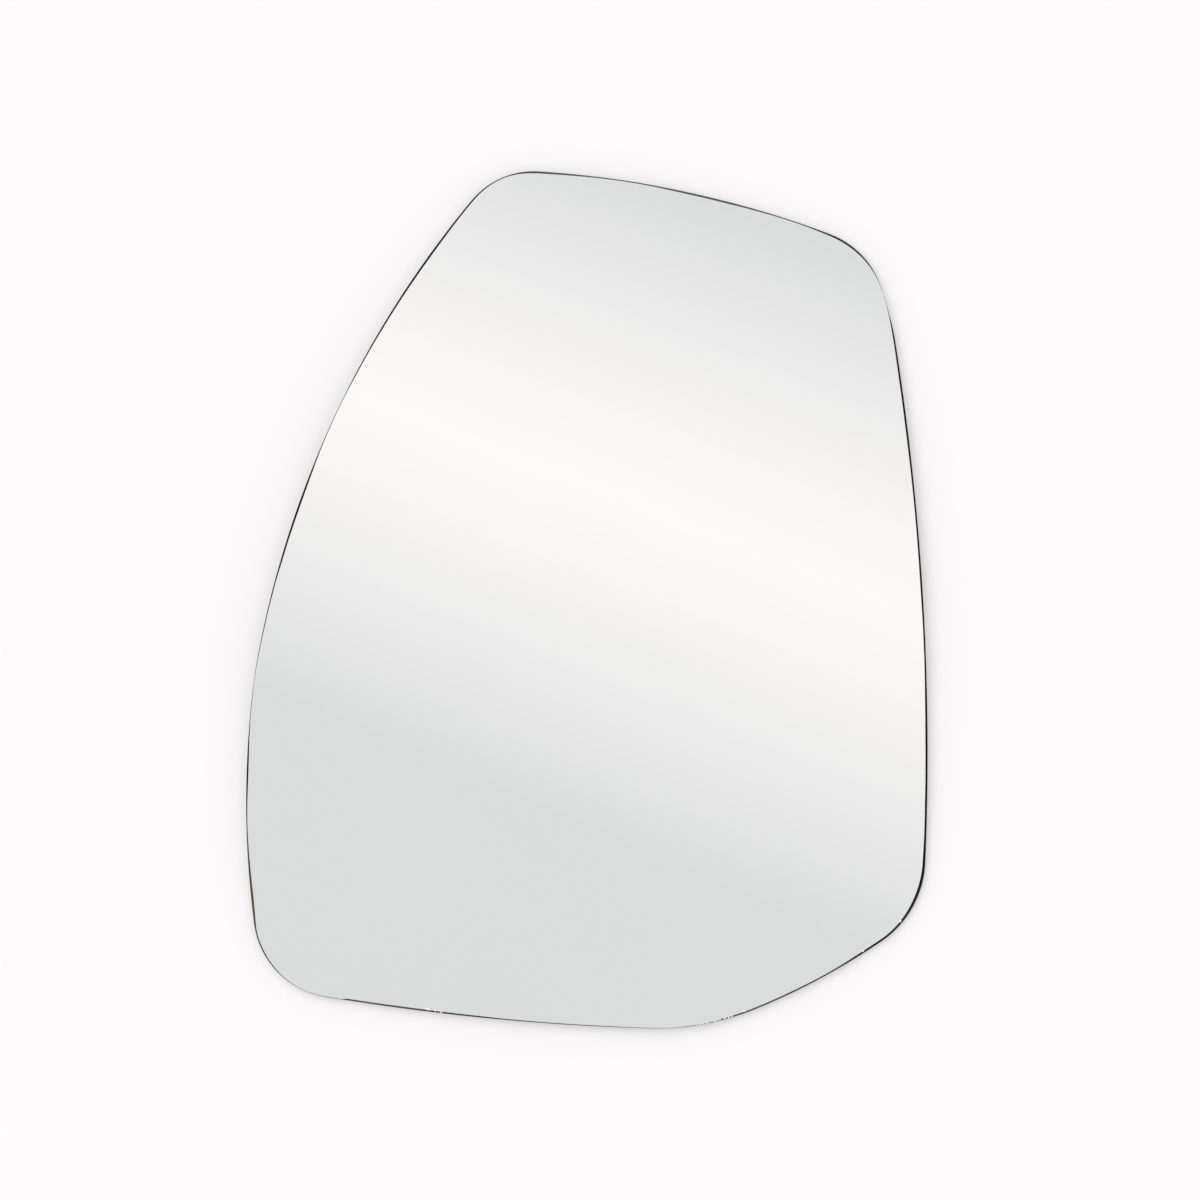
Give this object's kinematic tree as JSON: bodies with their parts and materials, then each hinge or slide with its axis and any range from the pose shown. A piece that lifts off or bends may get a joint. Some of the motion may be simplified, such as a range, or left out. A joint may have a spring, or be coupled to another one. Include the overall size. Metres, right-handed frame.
{
  "type": "car door mirror glass",
  "caption": "Convex door mirror glass with a tapering outline, rounded corners and ground edges, plain at the back so that it can be glued to its holder.",
  "frame": {"origin": "centre of the glass in plan, on the ground that its lowest rim points touch", "axes": "+Y up as fitted in the car, +X right seen from the front, +Z out of the mirror face, which looks up as the glass lies"},
  "size_m": [0.1634, 0.2058, 0.0064],
  "materials": {
    "mirror_glass": "bright silvered glass with a faint green tint, satin ground edges and matt grey protective paint on the back"
  },
  "bodies": {
    "root": {"mirror_glass": "mirror_glass"}
  },
  "joints": []
}
